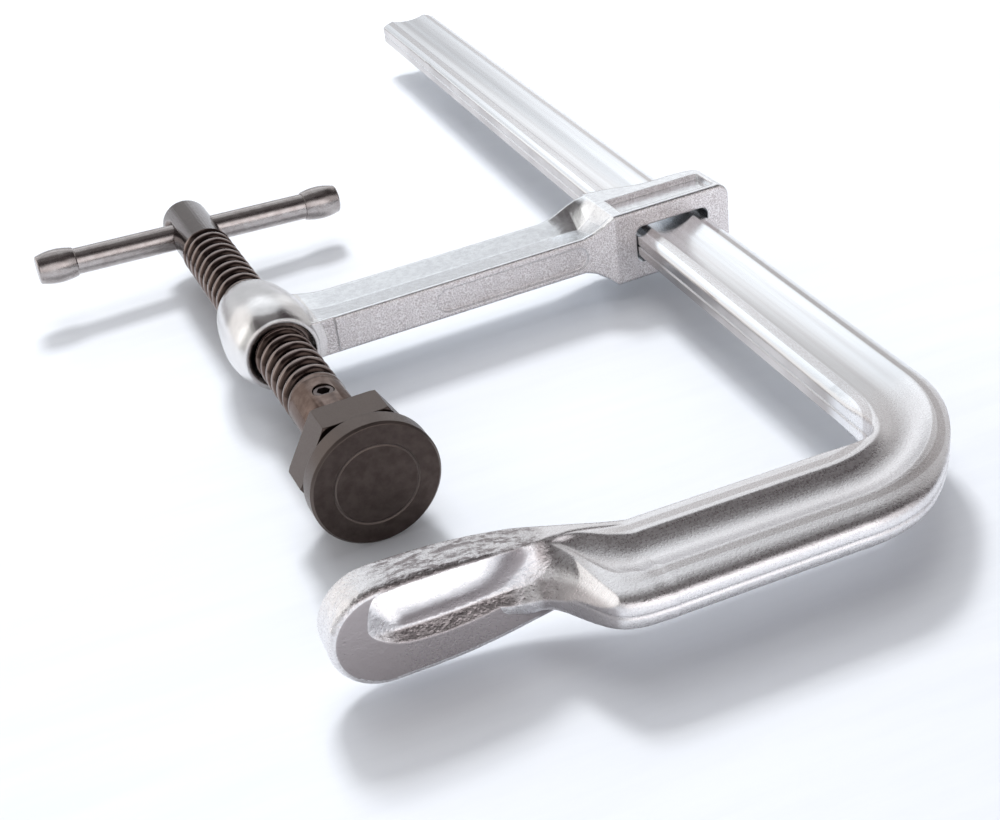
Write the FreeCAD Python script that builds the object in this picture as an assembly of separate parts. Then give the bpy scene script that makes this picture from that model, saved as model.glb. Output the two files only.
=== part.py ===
import FreeCAD, Part

import math
import os

# Welding F-clamp, 300 mm class opening, 140 mm throat.
# Millimetres. Origin: centre of the fixed jaw's clamping face, +Y along the rail away from the
# jaw, +X from the spindle to the rail, +Z up out of the clamp's middle plane.

V = FreeCAD.Vector
X_AXIS = V(1, 0, 0)
Y_AXIS = V(0, 1, 0)
Z_AXIS = V(0, 0, 1)

# Reach and pose
throat_depth = 140.0        # spindle axis to the rail's inner edge
rail_end = 465.0            # clamping face to the rail's far end
arm_front = 157.7           # clamping face to the sliding arm's front face, as shown
arm_lean = 3.18             # how far the slack sliding arm leans on the rail, degrees
spindle_turn = 2.4          # how far the spindle is turned, as shown, degrees

# Rail, the section shared by both broad faces
rail_width = 29.0
rail_thickness = 12.4
rail_edge_run = 3.1         # rounded part of a narrow edge, across the rail
rail_edge_flat = 6.8        # height of the flat on a narrow edge
rail_edge_top = 10.8        # height of the section where the rounding ends
rail_bevel_run = 2.5        # sloping band between the rounding and the trough
rail_trough_depth = 1.55
edge_groove_width = 1.2     # fine groove along the narrow edges
edge_groove_depth = 0.45

# Fixed arm and heel
jaw_setback = 4.5           # clamping face to the fixed arm's front edge
fixed_arm_depth = 33.0
fixed_arm_rim = 7.2         # flat band in front of the trough
fixed_arm_trough = 15.6     # width of the trough
fixed_trough_depth = 3.0
fixed_edge_run = 4.6        # rounded part of the back edge, across the arm
fixed_edge_flat = 3.4
fixed_edge_top = 11.2
front_edge_radius = 1.2
heel_inner_radius = 8.0
heel_pivot = 22.0           # heel's turning centre to both inner walls
heel_hollow = 3.3           # how much the outer corner is drawn in
heel_edge_run = 2.4         # rounding across the heel's outer edge
heel_edge_top = 8.8

# Jaw tip and neck
jaw_radius = 15.8           # round end of the clamping face
jaw_overhang = 13.1         # spindle axis to the centre of the round end
jaw_thickness = 12.0
jaw_back_radius = 2.2
jaw_front_radius = 0.8
jaw_flat_length = 18.0      # spindle axis to where the face starts to fall back
neck_end = 58.0             # spindle axis to where the neck has the arm's full section
neck_ridge = 2.2            # width of the upright ridge along the neck's front
neck_inset = 0.25           # how far the neck's core stays inside the ridge
neck_back_share = 0.6       # share of the flange's extra height that reaches the back edge

# Upper edge of the jaw and the neck's ridge: spindle axis to the station, height
jaw_side = ((-3.0, 15.7), (7.0, 15.2), (18.0, 13.8), (28.0, 12.0), (40.0, 9.65), (50.0, 7.65))

# Neck's core, one row per station: spindle axis to the station, then from the clamping face
# to the ridge's rear, to the rear of the trough and to the back edge, depth of the trough,
# and height of the flange behind it
neck_stations = (
    (14.0, 7.6, 9.0, 10.6, 0.1, 8.4),
    (20.0, 8.6, 10.2, 12.9, 0.1, 8.8),
    (26.0, 9.2, 11.0, 15.3, 0.2, 9.4),
    (30.5, 9.0, 10.8, 17.9, 0.2, 9.7),
    (34.0, 8.4, 10.0, 21.6, 0.3, 9.4),
    (37.0, 7.6, 9.8, 27.0, 0.6, 8.4),
    (40.0, 7.0, 12.2, 32.2, 1.0, 6.8),
    (42.5, 7.0, 19.0, 34.8, 1.7, 6.3),
    (46.0, 8.0, 24.3, 36.5, 2.3, 6.2),
    (50.0, 9.8, 26.4, 37.2, 2.7, 6.2),
    (54.0, 11.1, 27.1, 37.45, 2.95, 6.2),
)

# Recess in the jaw's back, one row per station: spindle axis to the station, then clamping
# face to the upper rim and its height, the same for the deepest line and for the lower lip
recess_stations = (
    (-19.5, 12.6, 12.0, 12.2, 5.6, 12.5, 1.0),
    (-15.5, 12.0, 13.0, 10.6, 2.6, 12.2, -0.6),
    (-11.0, 11.6, 13.3, 8.6, 0.8, 12.2, -3.0),
    (-5.0, 11.4, 13.3, 7.6, 0.0, 12.2, -4.4),
    (3.0, 11.3, 13.2, 7.5, -0.1, 12.2, -4.7),
    (12.0, 11.1, 12.9, 7.7, 0.3, 12.2, -4.0),
    (20.0, 10.6, 12.3, 8.6, 1.4, 12.9, -3.0),
    (26.0, 9.8, 11.6, 10.3, 2.9, 15.1, -1.9),
    (31.0, 8.8, 10.8, 12.7, 4.3, 18.0, -1.0),
    (36.0, 7.7, 10.1, 16.8, 5.4, 23.0, -0.5),
    (41.0, 6.8, 9.5, 22.0, 6.0, 28.5, -0.4),
    (46.0, 6.2, 9.0, 27.0, 6.3, 34.0, -0.3),
)
recess_reach = 4.0          # how far the recess's cutter runs on past its rims
recess_outside = 50.0       # clamping face to the cutter's outer side
recess_ledge = 0.35         # share of the ledge that is rounded into the recess

# Slanting facet that ends the arm's thick part
facet_corner = (35.8, -8.0) # where the facet meets the ridge, on the arm's broad face
facet_far = (43.3, -31.3)   # where it meets the back edge
facet_slant = 42.0          # how far the facet leans from upright, degrees

# Sliding arm
slide_arm_depth = 24.4
slide_arm_height = 14.0
slide_rim = 2.9             # front rim beside the top trough
slide_trough_depth = 2.3
slide_crease = 13.8         # arm's front face to the trough's bottom crease
slide_edge_radius = 1.2
slide_rear_radius = 1.6
name_pocket_from = 59.5     # spindle axis to the bare pocket in the front face
name_pocket_to = 121.0
name_pocket_height = 9.3
name_pocket_depth = 1.5
boss_step_end = 21.0        # spindle axis to the shallow step beside the boss
boss_step_depth = 0.6

# Housing round the rail
window_play = 2.1           # spare width round the rail
window_gap = 1.1            # spare height on each side of the rail
window_radius = 3.0
housing_wall = 6.9
housing_inner_wall = 8.5    # rail side wall towards the arm
housing_outer_wall = 9.5
housing_corner = 5.0
housing_step = 3.7          # arm's front face to the housing's front face
housing_back_inner = 25.8   # housing's front face to its back, beside the arm
housing_back_outer = 17.7   # the same at the far side
housing_edge_radius = 1.3   # rounding round the housing's front face
band_from = 2.6             # housing's front face to the band groove
band_width = 12.4
band_depth = 2.4
band_start_wall = 4.0       # from the flare to the start of the band groove
band_end_wall = 5.0         # solid wall that closes the band groove at the far side
band_end_radius = 2.0
flare_length = 19.0         # length of the flare from the arm to the housing

# Boss
boss_front = 2.2            # arm's front face to the boss's front face
boss_front_radius = 13.5
boss_rim_width = 1.1        # raised rim round the boss's front
boss_rim_groove = 0.35      # depth of the fine groove behind the rim
boss_radius = 16.7
boss_length = 41.0
boss_rear_radius = 12.0
boss_flare_from = 27.0      # spindle axis to where the arm starts to swell into the boss
boss_flare_rise = 2.6       # how much the arm has swelled at the boss
boss_sink_radius = 12.3
boss_sink_depth = 2.0

# Spindle
spindle_radius = 10.15
spindle_running_gap = 0.05
thread_start = 116.5        # clamping face to the thread's lower end, as shown
thread_length = 140.0
collar_radius = 9.95
collar_length = 27.0
head_radius = 9.7
head_length = 35.0
spindle_chamfer = 1.0

# Tommy bar
bar_radius = 5.3
bar_hole_gap = 0.35
bar_length = 126.5
bar_offset = 0.75           # how far the bar stands towards the left
bar_from_end = 13.5         # bar's axis to the end of the head
barrel_length = 15.0
barrel_radius = 6.8
barrel_inner_radius = 5.8
barrel_outer_radius = 5.75
cap_seat = 9.5
press_gap = 0.02

# Ball stud, retaining ring and grub screw
ball_radius = 6.5
socket_gap = 0.3
neck_radius = 3.8
shank_radius = 5.0
shank_gap = 0.05
shank_length = 26.0
stud_clearance = 0.3        # spindle's end face to the stud's shoulder, and the bore's bottom gap
ball_setback = 13.5         # spindle's end face to the ball's centre
ring_wire_radius = 0.9
ring_radius = 6.4
ring_opening = 40.0         # degrees left open so the ring springs
grub_radius = 3.6
grub_gap = 0.05
grub_from_end = 19.5        # spindle's end face to the screw's axis
grub_socket = 4.0           # hexagon across flats
grub_socket_depth = 2.6
grub_point_gap = 0.3
grub_groove_depth = 1.1
grub_groove_width = 5.2

# Pressure plate
plate_radius = 20.8
plate_disc = 6.9
plate_undercut = 3.4
plate_undercut_radius = 17.6
plate_hexagon = 36.2        # across flats
plate_hexagon_height = 12.2
plate_front_gap = 4.0       # spindle's end face to the hexagon
plate_chamfer = 0.8
plate_ring_radius = 13.3
plate_ring_width = 0.9
plate_ring_depth = 0.35

# Places that follow from the sizes
half_thickness = rail_thickness / 2.0
fixed_arm_front = -jaw_setback
heel_x = throat_depth - heel_pivot
heel_y = fixed_arm_front + heel_pivot
neck_from = neck_stations[0][0]
neck_last = neck_stations[-1][0]
slide_half = slide_arm_height / 2.0
arm_rear = arm_front + slide_arm_depth
spindle_end = thread_start - collar_length
ball_centre = spindle_end - ball_setback
head_start = thread_start + thread_length
spindle_top = head_start + head_length
bar_axis = spindle_top - bar_from_end
grub_axis = spindle_end + grub_from_end
hexagon_rear = spindle_end - plate_front_gap
hexagon_front = hexagon_rear - plate_hexagon_height
disc_rear = hexagon_front - plate_undercut
plate_face = disc_rear - plate_disc
housing_front = arm_front - housing_step
window_from = throat_depth - 0.25 * window_play
window_to = window_from + rail_width + window_play
window_half = half_thickness + window_gap
housing_half = window_half + housing_wall
housing_from = window_from - housing_inner_wall
housing_to = window_to + housing_outer_wall
flare_from = housing_from - flare_length


def smooth(t):
    """Ease from 0 to 1 with no slope at either end."""
    t = min(max(t, 0.0), 1.0)
    return t * t * (3.0 - 2.0 * t)


def mix(a, b, t):
    return a + (b - a) * t


def eased_row(rows, x):
    """Row of a table of stations at x, eased through the rows without overshooting them."""
    at = [row[0] for row in rows]
    i = 0
    while i < len(rows) - 2 and x > at[i + 1]:
        i += 1
    step = [b - a for a, b in zip(at[:-1], at[1:])]
    t = (x - at[i]) / step[i]
    result = [x]
    for k in range(1, len(rows[0])):
        value = [row[k] for row in rows]
        rise = [(b - a) / h for a, b, h in zip(value[:-1], value[1:], step)]
        slope = [rise[0]]
        for j in range(1, len(rise)):
            before, after = rise[j - 1], rise[j]
            wide, near = 2.0 * step[j] + step[j - 1], step[j] + 2.0 * step[j - 1]
            turns = before * after <= 0.0
            slope.append(0.0 if turns else (wide + near) / (wide / before + near / after))
        slope.append(rise[-1])
        bend = (1.0 + 2.0 * t) * (1.0 - t) ** 2 * value[i] + t * t * (3.0 - 2.0 * t) * value[i + 1]
        lead = t * (1.0 - t) ** 2 * slope[i] - t * t * (1.0 - t) * slope[i + 1]
        result.append(bend + lead * step[i])
    return result


def even_loft(rows, section, spans):
    """Smooth solid through evenly spaced sections of a table of stations."""
    first = rows[0][0]
    last = rows[-1][0]
    wires = []
    for i in range(spans + 1):
        wires.append(section(*eased_row(rows, mix(first, last, i / spans))))
    return Part.makeLoft(wires, True, False, False, 3)


def line(a, b):
    return Part.makeLine(a, b)


def arc(a, b, c):
    return Part.Arc(a, b, c).toShape()


def conic(a, control, b):
    """Rounded corner from a to b, tangent to both sides that meet at control."""
    curve = Part.BezierCurve()
    curve.setPoles([a, control, b])
    return curve.toShape()


def spline(points, first=None, last=None):
    curve = Part.BSplineCurve()
    if first is None:
        curve.interpolate(Points=points)
    else:
        curve.interpolate(Points=points, InitialTangent=first, FinalTangent=last)
    return curve.toShape()


def polygon(points):
    return Part.Wire(Part.makePolygon(points + points[:1]).Edges)


def prism(wire, direction):
    return Part.Face(wire).extrude(direction)


def revolve_y(points, radius_x=0.0, angle=360.0):
    """Turn a closed outline of (radius, y) points about the Y axis."""
    outline = [V(r, y, 0) for r, y in points]
    return Part.Face(polygon(outline)).revolve(V(radius_x, 0, 0), Y_AXIS, angle)


def save(name, shape):
    if shape.ShapeType == "Compound" and len(shape.Solids) == 1:
        shape = shape.Solids[0]
    shape.exportStep("parts/" + name + ".step")


# Forged bar: rail, heel, fixed arm and neck share one section

def rail_sizes():
    """The rail's section, measured from its inner edge."""
    return {
        "in_run": rail_edge_run, "in_low": rail_edge_flat / 2.0, "in_top": rail_edge_top / 2.0,
        "from": rail_edge_run + rail_bevel_run,
        "to": rail_width - rail_edge_run - rail_bevel_run,
        "depth": rail_trough_depth, "rim_top": half_thickness, "flange_top": half_thickness,
        "out_run": rail_edge_run, "out_low": rail_edge_flat / 2.0, "out_top": rail_edge_top / 2.0,
    }


def arm_sizes():
    """The fixed arm's section, measured from its front edge."""
    return {
        "in_run": front_edge_radius, "in_low": half_thickness - front_edge_radius,
        "in_top": half_thickness,
        "from": fixed_arm_rim, "to": fixed_arm_rim + fixed_arm_trough,
        "depth": fixed_trough_depth, "rim_top": half_thickness, "flange_top": half_thickness,
        "out_run": fixed_edge_run, "out_low": fixed_edge_flat / 2.0,
        "out_top": fixed_edge_top / 2.0,
    }


def bar_section(inner, outer, s):
    """Upright section of the bar between its inner and outer edge."""
    width = (outer - inner).Length
    across = (outer - inner) / width
    rim = s["rim_top"]
    flange = s["flange_top"]
    groove = edge_groove_width / 2.0
    in_slope = (rim - s["in_top"]) / (s["from"] - s["in_run"])
    out_slope = (flange - s["out_top"]) / (width - s["out_run"] - s["to"])
    bottom = (rim + flange) / 2.0 - s["depth"]

    def at(u, z):
        return inner + across * u + V(0, 0, z)

    edges = []
    for side in (1, -1):
        half = [
            line(at(edge_groove_depth, 0), at(0, side * groove)),
            line(at(0, side * groove), at(0, side * s["in_low"])),
            conic(at(0, side * s["in_low"]), at(0, side * (s["in_top"] - in_slope * s["in_run"])),
                  at(s["in_run"], side * s["in_top"])),
            line(at(s["in_run"], side * s["in_top"]), at(s["from"], side * rim)),
            arc(at(s["from"], side * rim), at((s["from"] + s["to"]) / 2.0, side * bottom),
                at(s["to"], side * flange)),
            line(at(s["to"], side * flange), at(width - s["out_run"], side * s["out_top"])),
            conic(at(width - s["out_run"], side * s["out_top"]),
                  at(width, side * (s["out_top"] - out_slope * s["out_run"])),
                  at(width, side * s["out_low"])),
            line(at(width, side * s["out_low"]), at(width, side * groove)),
            line(at(width, side * groove), at(width - edge_groove_depth, 0)),
        ]
        edges += half if side == 1 else half[::-1]
    return Part.Wire(edges)


def corner_reach(angle, side, radius):
    """Distance from the heel's pivot to a rounded corner of two walls, each side away."""
    a = math.radians(min(angle, 90.0 - angle))
    setback = side - radius
    if math.tan(a) <= setback / side:
        return side / math.cos(a)
    along = setback * (math.cos(a) + math.sin(a))
    across = setback * (math.cos(a) - math.sin(a))
    return along + math.sqrt(radius ** 2 - across ** 2)


def heel_section(angle):
    """Section of the heel, fanned round its pivot: 0 is the rail and 90 the fixed arm."""
    t = (1.0 - math.cos(math.radians(2.0 * angle))) / 2.0
    middle = math.sin(math.radians(2.0 * angle)) ** 2
    rail = rail_sizes()
    arm = arm_sizes()
    sizes = {}
    for key in rail:
        sizes[key] = mix(rail[key], arm[key], t)
    inner = corner_reach(angle, heel_pivot, heel_inner_radius)
    outer = mix(heel_pivot + rail_width, heel_pivot + fixed_arm_depth, t) - heel_hollow * middle
    bulge = inner - heel_pivot
    sizes["in_run"] = mix(sizes["in_run"], front_edge_radius, middle)
    sizes["in_top"] = mix(sizes["in_top"], half_thickness, middle * 0.8)
    sizes["from"] = max(sizes["from"] - bulge * 0.7, sizes["in_run"] + 1.0)
    sizes["to"] = sizes["to"] - bulge - middle
    sizes["out_run"] = mix(sizes["out_run"], heel_edge_run, middle)
    sizes["out_top"] = mix(sizes["out_top"], heel_edge_top / 2.0, middle)
    ray = V(math.cos(math.radians(angle)), -math.sin(math.radians(angle)), 0)
    pivot = V(heel_x, heel_y, 0)
    return bar_section(pivot + ray * inner, pivot + ray * outer, sizes)


def rail_section(y):
    return bar_section(V(throat_depth, y, 0), V(throat_depth + rail_width, y, 0), rail_sizes())


def arm_section(x):
    back = fixed_arm_front - fixed_arm_depth
    return bar_section(V(x, fixed_arm_front, 0), V(x, back, 0), arm_sizes())


def face_fall(x):
    """How far the front of the neck has fallen back from the clamping face."""
    return jaw_setback * smooth((x - jaw_flat_length) / (neck_end - jaw_flat_length))


def ridge_height(x):
    """Height of the jaw's upper edge at x."""
    rows = list(jaw_side) + [(neck_end, half_thickness)]
    for (x0, z0), (x1, z1) in zip(rows[:-1], rows[1:]):
        if x <= x1:
            return mix(z0, z1, (x - x0) / (x1 - x0))
    return half_thickness


def neck_section(x, rim, rear, back, depth, flange):
    """Section of the neck's core, where the flat arm turns into the upright jaw."""
    sink = jaw_back_radius * (1.0 - smooth((x - neck_from) / (neck_end / 2.0 - neck_from)))
    inset = sink + neck_inset * (1.0 - smooth((x - neck_last) / (neck_end - neck_last)))
    front = face_fall(x) + inset
    top = ridge_height(x) - inset
    width = back - front
    sizes = arm_sizes()
    sizes["in_low"] = top - front_edge_radius
    sizes["in_top"] = top
    sizes["rim_top"] = top
    sizes["flange_top"] = flange
    sizes["from"] = rim - front
    sizes["to"] = rear - front
    sizes["depth"] = depth
    sizes["out_run"] = min(fixed_edge_run, 0.6 * (width - sizes["to"]))
    sizes["out_top"] += neck_back_share * (flange - half_thickness)
    return bar_section(V(x, -front, 0), V(x, -back, 0), sizes)


def make_bar():
    """Rail, heel, fixed arm and neck as one bar."""
    loft_lead = 7.5
    rail = prism(rail_section(heel_y + loft_lead), V(0, rail_end - heel_y - loft_lead, 0))
    stations = [rail_section(heel_y + loft_lead)]
    stations += [heel_section(15.0 * i) for i in range(7)]
    stations += [arm_section(heel_x - loft_lead)]
    heel = Part.makeLoft(stations, True, False)
    arm = prism(arm_section(neck_end), V(heel_x - loft_lead - neck_end, 0, 0))
    rim = jaw_setback + fixed_arm_rim
    full = (neck_end, rim, rim + fixed_arm_trough, jaw_setback + fixed_arm_depth,
            fixed_trough_depth, half_thickness)
    neck = even_loft(neck_stations + (full,), neck_section, 13)
    return rail.fuse([heel, arm, neck])


def jaw_outline(y):
    """Racket-shaped outline of the jaw tip in an upright plane."""
    centre = -jaw_overhang
    r = jaw_radius
    edges = [arc(V(centre, y, -r), V(centre - r, y, 0), V(centre, y, r))]
    end = half_thickness - neck_inset
    for sign in (1, -1):
        points = [V(centre, y, sign * r)]
        points += [V(x, y, sign * z) for x, z in jaw_side]
        points += [V(neck_end, y, sign * end)]
        fall = points[-1] - points[-2]
        edges.append(spline(points, X_AXIS, fall.normalize()))
    edges.append(line(V(neck_end, y, end), V(neck_end, y, -end)))
    return Part.Wire(Part.__sortEdges__(edges))


def jaw_plan():
    """Plan of the jaw tip: flat face, fall-back along the neck, thin ridge by the trough."""
    left = -jaw_overhang - jaw_radius - 1.0
    steps = [jaw_flat_length + (neck_end - jaw_flat_length) * i / 4.0 for i in range(5)]
    front = [V(x, -face_fall(x), 0) for x in steps]
    front[-1].y -= neck_inset
    first = neck_stations[-1][0]
    turn = neck_stations[5][0]
    back = [V(neck_end, fixed_arm_front - neck_ridge, 0),
            V(first, -face_fall(first) - neck_ridge, 0),
            V(mix(first, turn, 0.75), -face_fall(mix(first, turn, 0.75)) - 1.5 * neck_ridge, 0),
            V(turn, -0.6 * jaw_thickness, 0),
            V(mix(turn, jaw_flat_length, 0.25), -jaw_thickness, 0)]
    edges = [
        line(V(left, 0, 0), front[0]),
        spline(front, X_AXIS, X_AXIS),
        line(front[-1], back[0]),
        spline(back),
        line(back[-1], V(left, -jaw_thickness, 0)),
        line(V(left, -jaw_thickness, 0), V(left, 0, 0)),
    ]
    return Part.Wire(edges)


def rim_edges(solid, y):
    """The edges round a jaw solid that lie in the plane at y, without its straight end."""
    level = [e for e in solid.Edges
             if abs(e.BoundBox.YMin - y) < 1e-4 and abs(e.BoundBox.YMax - y) < 1e-4]
    return [e for e in level if e.BoundBox.XLength > jaw_front_radius]


def make_jaw():
    """Jaw tip with its clamping face on the plane y = 0."""
    plate = prism(jaw_outline(-jaw_thickness), V(0, jaw_thickness, 0))
    plate = plate.makeFillet(jaw_back_radius, rim_edges(plate, -jaw_thickness))
    plate = plate.makeFillet(jaw_front_radius, rim_edges(plate, 0.0))
    plan = prism(jaw_plan(), V(0, 0, 4.0 * jaw_radius))
    plan.translate(V(0, 0, -2.0 * jaw_radius))
    return plate.common(plan)


def facet_block():
    """Everything on the jaw's side of the slanting facet that ends the arm's thick part."""
    corner = V(facet_corner[0], facet_corner[1], half_thickness)
    along = V(facet_far[0], facet_far[1], half_thickness) - corner
    level = V(along.y, -along.x, 0)
    level.normalize()
    lean = math.radians(facet_slant)
    normal = level * math.cos(lean) + Z_AXIS * math.sin(lean)
    reach = 120.0
    block = Part.makeBox(reach, reach, reach, V(-reach / 2.0, -reach / 2.0, 0))
    block.Placement = FreeCAD.Placement(corner, FreeCAD.Rotation(Z_AXIS, normal))
    return block


def recess_section(x, rim_in, rim_up, deep_in, deep_up, lip_in, lip_up):
    """Section of the recess: hollow upper wall, deepest line, sloping ledge, open outside."""
    deep = V(x, -deep_in, deep_up)
    rim = V(x, -rim_in, rim_up)
    lip = V(x, -lip_in, lip_up)
    out_rim = rim + (rim - deep).normalize() * recess_reach
    out_lip = lip + (lip - deep).normalize() * recess_reach
    ledge = mix(deep, lip, recess_ledge)
    return Part.Wire([
        conic(out_rim, deep, ledge),
        line(ledge, out_lip),
        line(out_lip, V(x, -recess_outside, out_lip.z)),
        line(V(x, -recess_outside, out_lip.z), V(x, -recess_outside, out_rim.z)),
        line(V(x, -recess_outside, out_rim.z), out_rim),
    ])


def jaw_recess():
    """Scooped recess in the jaw's back, ended by the slanting facet."""
    scoop = even_loft(recess_stations, recess_section, 16)
    return scoop.common(facet_block())


def make_rail_with_fixed_jaw():
    return make_bar().fuse(make_jaw()).removeSplitter().cut(jaw_recess())


# Sliding arm, built square to the rail and leaned afterwards

def leaned(shape):
    """Lean a shape that was built square about the rail's inner edge."""
    shape.rotate(V(throat_depth, arm_front, 0), Z_AXIS, arm_lean)
    return shape


def slide_section(x, grow, front, rear):
    """Section of the sliding arm at x; grow runs from 0 on the arm to 1 at the housing."""
    rise = housing_half - slide_half
    front_top = slide_half + rise * grow[0]
    crease_top = slide_half - slide_trough_depth + (rise + slide_trough_depth) * grow[1]
    rear_top = slide_half - 0.2 + (rise + 0.2) * grow[2]
    foot_top = mix(front_top - 0.9, front_top, grow[1])
    e = slide_edge_radius
    k = slide_rear_radius
    crease = front + slide_crease

    def at(y, z):
        return V(x, y, z)

    edges = []
    for side in (1, -1):
        half = [
            line(at(front, 0), at(front, side * (front_top - e))),
            conic(at(front, side * (front_top - e)), at(front, side * front_top),
                  at(front + e, side * front_top)),
            line(at(front + e, side * front_top), at(front + slide_rim - 1.0, side * front_top)),
            line(at(front + slide_rim - 1.0, side * front_top),
                 at(front + slide_rim, side * foot_top)),
            line(at(front + slide_rim, side * foot_top), at(crease, side * crease_top)),
            line(at(crease, side * crease_top), at(rear - k, side * rear_top)),
            conic(at(rear - k, side * rear_top), at(rear, side * rear_top),
                  at(rear, side * (rear_top - k))),
            line(at(rear, side * (rear_top - k)), at(rear, 0)),
        ]
        edges += half if side == 1 else half[::-1]
    return Part.Wire(edges)


def make_blade():
    """Straight blade of the arm and its flare up to the housing."""
    plain = (0.0, 0.0, 0.0)
    blade = prism(slide_section(0.0, plain, arm_front, arm_rear), V(flare_from, 0, 0))
    stations = []
    for share in (0.0, 0.2, 0.4, 0.6, 0.8, 1.0):
        x = mix(flare_from, housing_from, share)
        late = max((share - 0.4) / 0.6, 0.0) ** 1.6
        grow = (late, smooth((share - 0.65) / 0.35), smooth(share))
        front = mix(arm_front, housing_front, late)
        rear = mix(arm_rear, housing_front + housing_back_inner, smooth(share))
        stations.append(slide_section(x, grow, front, rear))
    flare = Part.makeLoft(stations, True, True)
    return blade.fuse(flare)


def housing_outline(y, inset):
    """Upright outline of the housing, drawn in by inset."""
    r = housing_corner
    h = housing_half - inset
    x = housing_to - inset
    q = r * (1.0 - math.sqrt(0.5))
    left = housing_from
    return Part.Wire([
        line(V(left, y, h), V(x - r, y, h)),
        arc(V(x - r, y, h), V(x - q, y, h - q), V(x, y, h - r)),
        line(V(x, y, h - r), V(x, y, -h + r)),
        arc(V(x, y, -h + r), V(x - q, y, -h + q), V(x - r, y, -h)),
        line(V(x - r, y, -h), V(left, y, -h)),
        line(V(left, y, -h), V(left, y, h)),
    ])


def housing_plan():
    """Plan of the housing: straight front and a back that steps in towards the far side."""
    front = housing_front
    inner = front + housing_back_inner
    outer = front + housing_back_outer
    middle = mix(inner, outer, 0.68)
    bend = mix(housing_from, housing_to, 0.45)
    z = -housing_half
    return Part.Wire([
        line(V(housing_from, front, z), V(housing_to, front, z)),
        line(V(housing_to, front, z), V(housing_to, outer - 2.0, z)),
        conic(V(housing_to, outer - 2.0, z), V(housing_to, outer, z), V(housing_to - 3.0, outer, z)),
        spline([V(housing_to - 3.0, outer, z), V(mix(bend, housing_to, 0.6), middle - 0.4, z),
                V(bend, middle, z), V(mix(housing_from, bend, 0.6), mix(inner, middle, 0.5), z),
                V(housing_from, inner, z)]),
        line(V(housing_from, inner, z), V(housing_from, front, z)),
    ])


def make_boss_flare():
    """Swelling of the arm's top, underside and rear towards the boss."""
    rise = boss_flare_rise / (housing_half - slide_half)
    stations = []
    for share in (0.0, 0.25, 0.5, 0.75, 1.0):
        x = mix(boss_flare_from, 0.5 * boss_radius, share)
        swell = share ** 2
        grow = (0.0, rise * swell, rise * swell)
        stations.append(slide_section(x, grow, arm_front, arm_rear + boss_flare_rise * swell))
    return Part.makeLoft(stations, True, False, False, 3)


def window_cutter():
    """Opening for the rail, with rounded corners."""
    depth = 2.0 * housing_back_inner
    start = V(window_from, housing_front - 0.5 * depth, -window_half)
    block = Part.makeBox(window_to - window_from, 2.0 * depth, 2.0 * window_half, start)
    upright = [e for e in block.Edges if abs(e.BoundBox.YLength - 2.0 * depth) < 0.01]
    return block.makeFillet(window_radius, upright)


def band_groove():
    """Groove along both broad sides, with its far end rounded in plan."""
    r = band_end_radius
    start = V(housing_from + band_start_wall, housing_front + band_from, -2.0 * housing_half)
    length = housing_to - band_end_wall - start.x
    bar = Part.makeBox(length, band_width, 4.0 * housing_half, start)
    ends = [e for e in bar.Edges
            if e.BoundBox.ZLength > housing_half and e.BoundBox.XMin > start.x + r]
    core = prism(housing_outline(housing_front, band_depth), V(0, housing_back_inner, 0))
    return bar.makeFillet(r, ends).cut(core)


def make_housing():
    block = prism(housing_outline(housing_front, 0.0), V(0, housing_back_inner, 0))
    front = [e for e in block.Edges
             if e.BoundBox.YMax < housing_front + 0.01 and e.BoundBox.XMax > housing_from + 0.01]
    block = block.makeFillet(housing_edge_radius, front)
    block = block.common(prism(housing_plan(), V(0, 0, 2.0 * housing_half)))
    return block.cut(band_groove())


def make_boss():
    """Threaded boss turned about the spindle axis."""
    start = arm_front - boss_front
    end = start + boss_length
    rim = boss_front_radius
    behind = start + boss_rim_width
    outline = [
        V(rim - boss_rim_groove, behind + boss_rim_groove, 0),
        V(mix(rim, boss_radius, 0.48), start + 0.11 * boss_length, 0),
        V(mix(rim, boss_radius, 0.95), start + 0.28 * boss_length, 0),
        V(boss_radius, start + 0.38 * boss_length, 0),
        V(mix(boss_rear_radius, boss_radius, 0.83), start + 0.585 * boss_length, 0),
        V(mix(boss_rear_radius, boss_radius, 0.58), start + 0.78 * boss_length, 0),
        V(mix(boss_rear_radius, boss_radius, 0.28), start + 0.92 * boss_length, 0),
        V(boss_rear_radius, end, 0),
    ]
    edges = [
        line(V(0, start, 0), V(rim, start, 0)),
        line(V(rim, start, 0), V(rim, behind, 0)),
        line(V(rim, behind, 0), outline[0]),
        spline(outline),
        line(V(boss_rear_radius, end, 0), V(0, end, 0)),
        line(V(0, end, 0), V(0, start, 0)),
    ]
    return Part.Face(Part.Wire(edges)).revolve(V(0, 0, 0), Y_AXIS, 360)


def boss_bore():
    """Bore for the spindle with a countersink at each end."""
    start = arm_front - boss_front
    end = start + boss_length
    bore = spindle_radius + spindle_running_gap
    spare = 1.0
    return revolve_y([
        (0, start - spare), (boss_sink_radius, start - spare), (boss_sink_radius, start),
        (bore, start + boss_sink_depth), (bore, end - spare), (bore + spare, end),
        (bore + spare, end + spare), (0, end + spare),
    ])


def name_pocket():
    """Bare pocket in the arm's front face."""
    r = name_pocket_height / 2.0
    y = arm_front - 1.0
    a = name_pocket_from
    b = name_pocket_to
    z = -0.35
    wire = Part.Wire([
        line(V(a + r, y, z - r), V(b - r, y, z - r)),
        arc(V(b - r, y, z - r), V(b, y, z), V(b - r, y, z + r)),
        line(V(b - r, y, z + r), V(a + r, y, z + r)),
        arc(V(a + r, y, z + r), V(a, y, z), V(a + r, y, z - r)),
    ])
    return prism(wire, V(0, 1.0 + name_pocket_depth, 0))


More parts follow.
